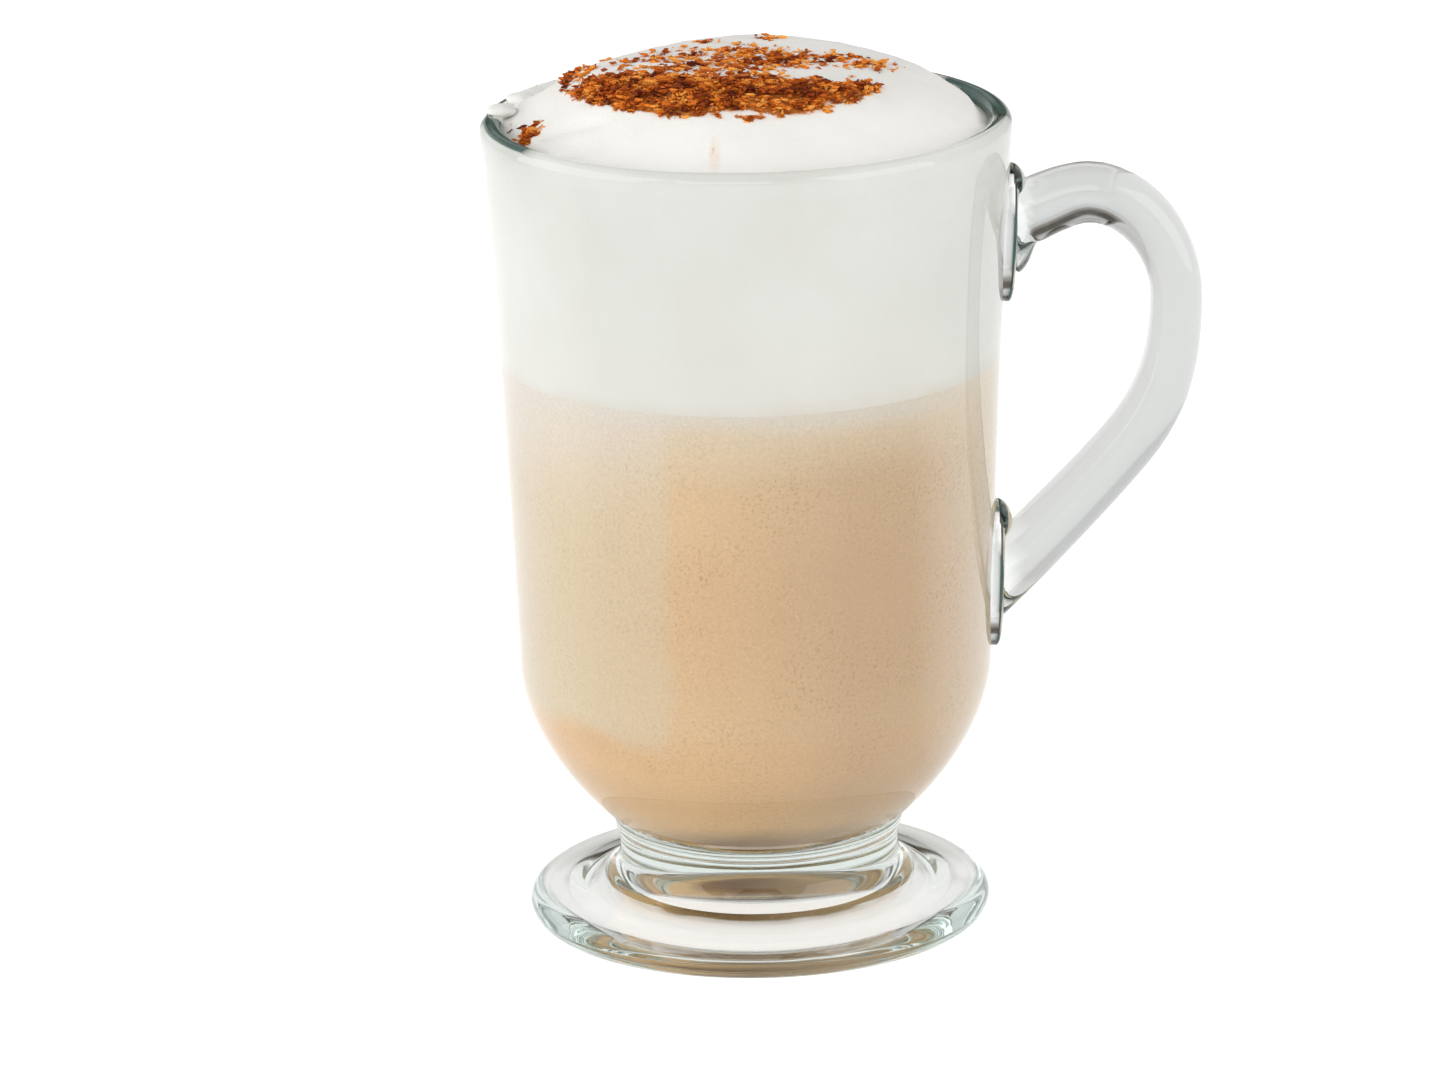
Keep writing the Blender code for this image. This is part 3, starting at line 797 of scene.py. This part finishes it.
# Each lap of foam on the rim: its angle, how far off the axis, and its half sizes.
RIM_LAPS = (
    (math.radians(174), 36.3 * MM, (2.2 * MM, 2.2 * MM, 0.95 * MM)),
    (math.radians(161), 35.2 * MM, (2.2 * MM, 2.0 * MM, 1.0 * MM)),
    (math.radians(153), 35.5 * MM, (1.7 * MM, 3.8 * MM, 0.36 * MM)),
    (math.radians(145), 35.4 * MM, (1.6 * MM, 3.8 * MM, 0.34 * MM)),
    (math.radians(137), 35.5 * MM, (1.7 * MM, 3.8 * MM, 0.34 * MM)),
    (math.radians(129), 35.4 * MM, (1.6 * MM, 3.8 * MM, 0.32 * MM)),
    (math.radians(45), 35.4 * MM, (1.5 * MM, 4.0 * MM, 0.30 * MM)),
    (math.radians(54), 35.4 * MM, (1.6 * MM, 4.0 * MM, 0.30 * MM)),
)


def rim_lap(angle, radius, size):
    """A soft lump of foam that laps on to the rim."""
    shape = bmesh.new()
    bmesh.ops.create_icosphere(shape, subdivisions=LAP_FINENESS, radius=1)
    own = Vector((0, 0, angle * LAP_NOISE_STEP))
    for corner in shape.verts:
        corner.co *= 1 + LAP_UNEVENNESS * noise.noise(corner.co * LAP_NOISE + own)
    spot = (AXIS_X + radius * math.cos(angle), radius * math.sin(angle), LAP_HEIGHT)
    turn = Matrix.Rotation(angle, 4, "Z") @ Matrix.Diagonal((*size, 1))
    bmesh.ops.transform(shape, matrix=Matrix.Translation(spot) @ turn, verts=shape.verts)
    return piece_from(shape, "rim_lap")


# Where the powder fell, off the mug's axis: a thick band round the front of the heap,
# a scatter over the top, and a patch by the rim. For the band: at each angle in
# degrees round its centre, how far off its inner and its outer edge lie.
BAND_CENTRE = (-0.5 * MM, 3.0 * MM)
BAND_EDGES = (
    (-198, 24.5 * MM, 26.5 * MM),
    (-172, 21.5 * MM, 27.2 * MM),
    (-160, 19.0 * MM, 26.8 * MM),
    (-143, 15.8 * MM, 26.5 * MM),
    (-126, 14.2 * MM, 27.2 * MM),
    (-107, 13.2 * MM, 28.6 * MM),
    (-88, 11.8 * MM, 28.6 * MM),
    (-74, 14.0 * MM, 28.6 * MM),
    (-63, 17.0 * MM, 28.4 * MM),
    (-52, 19.5 * MM, 27.8 * MM),
    (-36, 22.6 * MM, 25.4 * MM),
)
BAND_FADES = (5.5 * MM, 1.0 * MM)
BAND_THICKNESS = 0.8
BAND_MARGIN = 0.3
# Each spot: its place, its half width and length, and how much powder it adds. The
# bare spots take powder away.
BARE_SPOTS = (
    (-0.5 * MM, -24.4 * MM, 4.5 * MM, 0.8 * MM, -0.9),
    (-26.5 * MM, -1.0 * MM, 4.0 * MM, 5.0 * MM, -0.42),
    (12.0 * MM, -21.0 * MM, 1.6 * MM, 1.2 * MM, -0.5),
    (-12.0 * MM, -19.0 * MM, 1.2 * MM, 1.0 * MM, -0.4),
)
SPOTS = (
    *BARE_SPOTS,
    (-4.0 * MM, -0.5 * MM, 16.0 * MM, 9.5 * MM, 0.54),
    (4.5 * MM, -1.0 * MM, 4.2 * MM, 3.0 * MM, 0.45),
    (-5.5 * MM, 14.0 * MM, 1.6 * MM, 1.6 * MM, 0.6),
    (-1.5 * MM, 9.5 * MM, 1.4 * MM, 1.4 * MM, 0.4),
    (3.5 * MM, 14.0 * MM, 2.2 * MM, 1.6 * MM, 0.6),
    (17.0 * MM, -1.0 * MM, 7.0 * MM, 5.0 * MM, 0.34),
    (-3.5 * MM, -27.2 * MM, 1.1 * MM, 1.0 * MM, 0.6),
    (-32.0 * MM, -9.0 * MM, 2.1 * MM, 3.2 * MM, 1.2),
    (-34.4 * MM, -1.0 * MM, 0.8 * MM, 1.5 * MM, 0.6),
)
STREAK = (-4.6 * MM, -31.5 * MM, 0.7 * MM, 2.8 * MM, 0.45)
POWDER_REACH = 35.2 * MM
# The powder's unevenness: how strong, how long its waves, and at what depth of the noise.
WANDER = (1.1, 3.0 * MM, 9 * MM)
CLUMPS = ((0.6, 2.0 * MM, 0.0), (1.1, 0.8 * MM, 5 * MM))
CLUMPING = 3
THIN_AND_THICK = (0.32, 0.9)


def uneven(x, y, strength, length, depth):
    return strength * noise.noise(Vector((x, y, depth)) / length)


def mound(x, y, spot):
    """How much a spot of powder gives at a place."""
    return spot[4] * math.exp(-(((x - spot[0]) / spot[2]) ** 2) - ((y - spot[1]) / spot[3]) ** 2)


def band_cover(x, y):
    """How far a place lies inside the thick band of powder, from -1 to 1."""
    off_x, off_y = x - BAND_CENTRE[0], y - BAND_CENTRE[1]
    away = math.hypot(off_x, off_y)
    angle = math.degrees(math.atan2(off_y, off_x))
    angle -= 360 if angle > 90 else 0
    for (first, *near), (last, *far) in zip(BAND_EDGES, BAND_EDGES[1:]):
        if first <= angle <= last:
            share = (angle - first) / (last - first)
            inner, outer = (a + (b - a) * share for a, b in zip(near, far))
            inside = min((away - inner) / BAND_FADES[0], (outer - away) / BAND_FADES[1])
            return max(-1.0, min(1.0, inside))
    return -1.0


def powder_cover(x, y):
    """How thickly the powder lies at a place, from 0 to 1."""
    if math.hypot(x, y) > POWDER_REACH:
        return 0.0
    inside = band_cover(x, y) + BAND_MARGIN + uneven(x, y, *WANDER)
    thick = BAND_THICKNESS * max(0.0, min(1.0, inside))
    thick += sum(mound(x, y, spot) for spot in SPOTS)
    clump = sum(uneven(x, y, *waves) for waves in CLUMPS)
    return soft_step(thick + clump * min(1.0, CLUMPING * max(0.0, thick)), *THIN_AND_THICK)


FOAM_TONES = ((0.3, (0.87, 0.855, 0.82)), (0.7, (0.90, 0.89, 0.86)))
FOAM_TONE_NOISE = (60, 2.0)
# The stain: fine speckles in it, its faint tan where it is thin, and its brown.
SPECKLE_NOISE = (1400, 3.0, 0.7)
SPECKLES = (0.3, 0.6, 0.42, 1.0)
FAINT_STAIN = (0.80, 0.52, 0.28, 1)
FAINT_RANGE = (0.05, 0.5, 0.0, 0.6)
STAIN_TONES = ((0.3, (0.22, 0.040, 0.004)), (0.7, (0.60, 0.20, 0.03)))
STAIN_TONE_NOISE = (700, 3.0)
STAIN_RANGE = (0.28, 0.5)
# Just above the coffee the foam is soaked.
SOAKED_TONE = (0.80, 0.74, 0.66, 1)
SOAKED_WANDER = (120, 2.0, 3 * MM)
SOAKED_HEIGHTS = (COFFEE_LEVEL + 3.6 * MM, COFFEE_LEVEL + 1 * MM, 0.0, 0.7)
# Painted shade on the foam's top: it is a little brighter behind the glass than above it.
TOP_PAINTED_SHADE = (121 * MM, 117 * MM, 0.91, 0.965)
FOAM_ROUGHNESS = 0.7
FOAM_SHINE = 0.2
BUBBLE_SCALE = 1600
BUBBLE_STRENGTH = 0.35
BUBBLE_HEIGHT = 0.12 * MM
STAINED_DEPTH = 1 * MM
UNDER_POWDER = 0.85
UNDER_POWDER_RANGE = (0.1, 0.7)
BARE_STRENGTH = 1.4


def foam_look():
    """Soft white foam, stained brown where powder lies, with fine closed bubbles and painted shade
    on its top.
    """
    material, tree, out = shader_tree("milk_foam")
    place = object_place(tree)
    _, _, z = parts_of(tree, place)
    white = ramp_between(tree, FOAM_TONES, noise_at(tree, place, *FOAM_TONE_NOISE))
    speckles = ranged(tree, noise_at(tree, place, *SPECKLE_NOISE), *SPECKLES)
    stain = worked(tree, "MULTIPLY", kept_mark(tree, "powder"), speckles)
    colour = mixed(tree, "MIX", ranged(tree, stain, *FAINT_RANGE), white, FAINT_STAIN)
    brown = ramp_between(tree, STAIN_TONES, noise_at(tree, place, *STAIN_TONE_NOISE))
    colour = mixed(tree, "MIX", ranged(tree, stain, *STAIN_RANGE), colour, brown)
    # Painted shade: darker on the top above the glass.
    colour = mixed(tree, "MULTIPLY", 1.0, colour, ranged(tree, z, *TOP_PAINTED_SHADE))
    soaked = ranged(tree, wandering(tree, place, z, *SOAKED_WANDER), *SOAKED_HEIGHTS)
    colour = mixed(tree, "MIX", soaked, colour, SOAKED_TONE)
    body = solid_body(tree, out, colour, FOAM_ROUGHNESS, FOAM_SHINE)
    bubbles = tree.nodes.new("ShaderNodeTexVoronoi")
    bubbles.inputs["Scale"].default_value = BUBBLE_SCALE
    tree.links.new(place, bubbles.inputs["Vector"])
    bump_on(tree, body, bubbles.outputs["Distance"], BUBBLE_STRENGTH, BUBBLE_HEIGHT)
    return material


def stained(x, y):
    """How strongly powder stains the foam at a place: all under the band but its bare spots."""
    bare = BARE_STRENGTH * sum(mound(x, y, spot) for spot in BARE_SPOTS)
    under = UNDER_POWDER * soft_step(band_cover(x, y) + bare, *UNDER_POWDER_RANGE)
    return max(powder_cover(x, y), mound(x, y, STREAK), under)


def mark_powder(piece):
    """Keeps, at each point of the foam's top, how strongly powder stains it."""
    marks = piece.data.attributes.new("powder", "FLOAT", "POINT")
    for corner, mark in zip(piece.data.vertices, marks.data):
        on_top = corner.co.z > FOAM_EDGE_HEIGHT - STAINED_DEPTH
        mark.value = stained(corner.co.x - AXIS_X, corner.co.y) if on_top else 0.0


foam = foam_body()
for lap in RIM_LAPS:
    carve(foam, rim_lap(*lap), "UNION")
smoothed(foam, FOAM_CREASE)
mark_powder(foam)
foam.data.materials.clear()
foam.data.materials.append(foam_look())
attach(foam, "root")
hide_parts("milk_foam")

# Cinnamon
# Ground cinnamon, shaken over the heap. Most of it lies in coarse clumps in a thick
# crescent, and single grains are scattered round it.

GRAINS = 9500
GRAIN_SEED = 11
GRAIN_SIZES = (0.3 * MM, 1.7 * MM)
GRAIN_SIZE_POWER = 2.5
GRAIN_WIDTHS = (0.16, 0.42)
GRAIN_THICKNESS = 0.28
GRAIN_SINKS = (-0.1, 0.3)
GRAIN_TILT = 0.6
GRAIN_LIMIT = 35.0 * MM
GRAIN_RIGHT_LIMIT = 29 * MM
GRAIN_DEPTH_LIMITS = (-30 * MM, 21 * MM)
GRAIN_KINDS = 6
GRAIN_ROUGHNESS = 0.8
GRAIN_NOISE = 3.1
GRAIN_NOISE_STEP = 7
GRAIN_CREASE = math.radians(80)
PILE_HEIGHT = 0.6 * MM
# A grain's tone: its own part, its start, its patches, and how the thick powder darkens.
OWN_TONE = 0.42
FIRST_TONE = 0.72
PATCH_TONE = 0.75
THICK_TONE = -0.42
PATCHES = ((1.0, 1.6 * MM, 0.0), (1.0, 3.5 * MM, 3 * MM))
GRAIN_TONES = (
    (0.0, (0.13, 0.016, 0.002)),
    (0.35, (0.38, 0.068, 0.005)),
    (0.7, (0.72, 0.185, 0.014)),
    (1.0, (0.90, 0.38, 0.065)),
)
FLECK_NOISE = (4000, 1.0)
FLECKS = (0.3, 0.7, 0.7, 1.15)
BARK_ROUGHNESS = 0.85
BARK_SHINE = 0.2


def grain_moulds():
    """A few rough flakes, a metre across, that the grains are copied from."""
    moulds = []
    for kind in range(GRAIN_KINDS):
        shape = bmesh.new()
        bmesh.ops.create_icosphere(shape, subdivisions=1, radius=0.5)
        own = Vector((kind * GRAIN_NOISE_STEP, 0, 0))
        for corner in shape.verts:
            corner.co *= 1 + GRAIN_ROUGHNESS * noise.noise(corner.co * GRAIN_NOISE + own)
        mould = bpy.data.meshes.new("grain")
        shape.to_mesh(mould)
        shape.free()
        mould.attributes.new("tone", "FLOAT", "POINT")
        moulds.append(mould)
    return moulds


def cinnamon_grains():
    """All grains as one mesh, each with its tone kept at its points."""
    draw = random.Random(GRAIN_SEED)
    moulds = grain_moulds()
    shape = bmesh.new()
    count = 0
    while count < GRAINS:
        x = draw.uniform(-GRAIN_LIMIT, GRAIN_RIGHT_LIMIT)
        y = draw.uniform(*GRAIN_DEPTH_LIMITS)
        if math.hypot(x, y) > GRAIN_LIMIT or draw.random() > powder_cover(x, y):
            continue
        count += 1
        cover = powder_cover(x, y)
        size = GRAIN_SIZES[0] + (GRAIN_SIZES[1] - GRAIN_SIZES[0]) * draw.random() ** GRAIN_SIZE_POWER
        height = FOAM_EDGE_HEIGHT + foam_rise(x, y) + size * draw.uniform(*GRAIN_SINKS)
        height += PILE_HEIGHT * draw.random() * cover * max(0.0, min(1.0, band_cover(x, y)))
        width = size * draw.uniform(*GRAIN_WIDTHS)
        form = Matrix.Diagonal((size, width, size * GRAIN_THICKNESS, 1))
        turn = Matrix.Rotation(draw.uniform(0, math.tau), 4, "Z")
        tip = Matrix.Rotation(draw.uniform(-GRAIN_TILT, GRAIN_TILT), 4, "X")
        spot = Matrix.Translation((AXIS_X + x, y, height))
        grain = draw.choice(moulds).copy()
        grain.transform(spot @ turn @ tip @ form)
        patch = sum(uneven(x, y, *waves) for waves in PATCHES)
        tone = FIRST_TONE + OWN_TONE * draw.random() + PATCH_TONE * patch + THICK_TONE * cover
        for mark in grain.attributes["tone"].data:
            mark.value = tone
        shape.from_mesh(grain)
        bpy.data.meshes.remove(grain)
    return piece_from(shape, "cinnamon_grains", GRAIN_CREASE)


def cinnamon_look():
    """Ground bark: each grain its own brown, from dark to orange."""
    material, tree, out = shader_tree("cinnamon")
    bark = ramp_between(tree, GRAIN_TONES, kept_mark(tree, "tone"))
    flecks = ranged(tree, noise_at(tree, object_place(tree), *FLECK_NOISE), *FLECKS)
    colour = mixed(tree, "MULTIPLY", 1.0, bark, flecks)
    solid_body(tree, out, colour, BARK_ROUGHNESS, BARK_SHINE)
    return material


cinnamon = cinnamon_grains()
cinnamon.data.materials.append(cinnamon_look())
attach(cinnamon, "root")

# Floor and light
# A pale seamless floor that glows, and four soft lights round the mug. The room is
# bright low down, at the sides and in a band higher up, and dim between and above.

FLOOR_HALF = 4.0
FLOOR_DROP = 0.2 * MM
FLOOR_GREY = (0.5, 0.5, 0.5, 1)
FLOOR_ROUGHNESS = 0.9
FLOOR_GLOW = 0.78
LIGHT_AIM = (AXIS_X, 0, 0.07)
# Each light: its place, its width and height, and its power.
SOFT_LIGHTS = {
    "window_light": ((-1.2, -0.2, 0.5), (1.75, 1.4), 12.2),
    "fill_light": ((1.2, -0.65, 0.6), (1.4, 1.4), 9.5),
    "overhead_light": ((0.15, 0.0, 1.4), (1.0, 1.0), 0.5),
    "front_light": ((-0.25, -1.3, 0.8), (1.0, 0.7), 2.9),
}
# The room's brightness by the height looked at; the dark belts end towards the sides.
ROOM_TONES = (
    (0.02, (0.92, 0.92, 0.92)),
    (0.09, (0.35, 0.32, 0.28)),
    (0.15, (0.075, 0.055, 0.035)),
    (0.22, (0.075, 0.055, 0.035)),
    (0.30, (0.75, 0.75, 0.74)),
    (0.42, (0.60, 0.60, 0.59)),
    (0.55, (0.07, 0.06, 0.045)),
)
ROOM_SIDES = (0.22, 1.0, 0.0, -3.0)


def pale_floor():
    shape = bmesh.new()
    bmesh.ops.create_grid(shape, x_segments=2, y_segments=2, size=FLOOR_HALF)
    bmesh.ops.translate(shape, vec=(0, 0, -FLOOR_DROP), verts=shape.verts)
    floor = piece_from(shape, "floor")
    material, tree, out = shader_tree("pale_floor")
    body = solid_body(tree, out, FLOOR_GREY, FLOOR_ROUGHNESS, 0.0)
    body.inputs["Emission Color"].default_value = (1, 1, 1, 1)
    body.inputs["Emission Strength"].default_value = FLOOR_GLOW
    floor.data.materials.append(material)
    return floor


def soft_light(name, place, size, power):
    """A rectangular soft light at this place, turned to the mug's middle."""
    lamp = bpy.data.lights.new(name, "AREA")
    lamp.shape = "RECTANGLE"
    lamp.size, lamp.size_y = size
    lamp.energy = power
    light = bpy.data.objects.new(name, lamp)
    bpy.context.scene.collection.objects.link(light)
    light.location = place
    aim = Vector(LIGHT_AIM) - Vector(place)
    light.rotation_euler = aim.to_track_quat("-Z", "Y").to_euler()


def bright_room():
    """The room all round: its brightness goes by height and by how far aside one looks."""
    room = bpy.data.worlds.new("room")
    room.use_nodes = True
    tree = room.node_tree
    x, _, z = parts_of(tree, tree.nodes.new("ShaderNodeTexCoord").outputs["Generated"])
    aside = ranged(tree, worked(tree, "ABSOLUTE", x), *ROOM_SIDES)
    brightness = ramp_between(tree, ROOM_TONES, worked(tree, "ADD", aside, z))
    tree.links.new(brightness, tree.nodes["Background"].inputs["Color"])
    return room


pale_floor()
for name, light in SOFT_LIGHTS.items():
    soft_light(name, *light)
bpy.context.scene.world = bright_room()

# Camera
# A long lens a little over a metre in front of the mug, which looks sixteen degrees
# down on to its foam.

CAMERA_PLACE = (0.0, -1.1660, 0.3928)
CAMERA_PITCH = 0.2799
CAMERA_YAW = -0.0038
CAMERA_ROLL = -0.0195
FOCAL_PIXELS = 8125
IMAGE_WIDTH = 1448
SENSOR_MM = 36
NEAREST_SEEN = 0.05
FARTHEST_SEEN = 30
LIGHT_BOUNCES = 16
ALL_BOUNCES = 20

lens = bpy.data.cameras.new("camera")
lens.sensor_width = SENSOR_MM
lens.lens = FOCAL_PIXELS / IMAGE_WIDTH * SENSOR_MM
lens.clip_start = NEAREST_SEEN
lens.clip_end = FARTHEST_SEEN
camera = bpy.data.objects.new("camera", lens)
bpy.context.scene.collection.objects.link(camera)
ahead = Vector((0, math.cos(CAMERA_PITCH), -math.sin(CAMERA_PITCH)))
ahead.rotate(Matrix.Rotation(-CAMERA_YAW, 3, "Z"))
right = Vector((math.cos(CAMERA_YAW), -math.sin(CAMERA_YAW), 0))
upward = right.cross(ahead)
tilted_right = math.cos(CAMERA_ROLL) * right + math.sin(CAMERA_ROLL) * upward
tilted_up = math.cos(CAMERA_ROLL) * upward - math.sin(CAMERA_ROLL) * right
turn = Matrix((tilted_right, tilted_up, -ahead)).transposed().to_4x4()
place = Vector(CAMERA_PLACE) + Vector((AXIS_X, 0, 0))
camera.matrix_world = Matrix.Translation(place) @ turn
bpy.context.scene.camera = camera
bpy.context.scene.view_settings.view_transform = "Standard"
bpy.context.scene.cycles.use_denoising = True
bpy.context.scene.cycles.transmission_bounces = LIGHT_BOUNCES
bpy.context.scene.cycles.glossy_bounces = LIGHT_BOUNCES
bpy.context.scene.cycles.max_bounces = ALL_BOUNCES
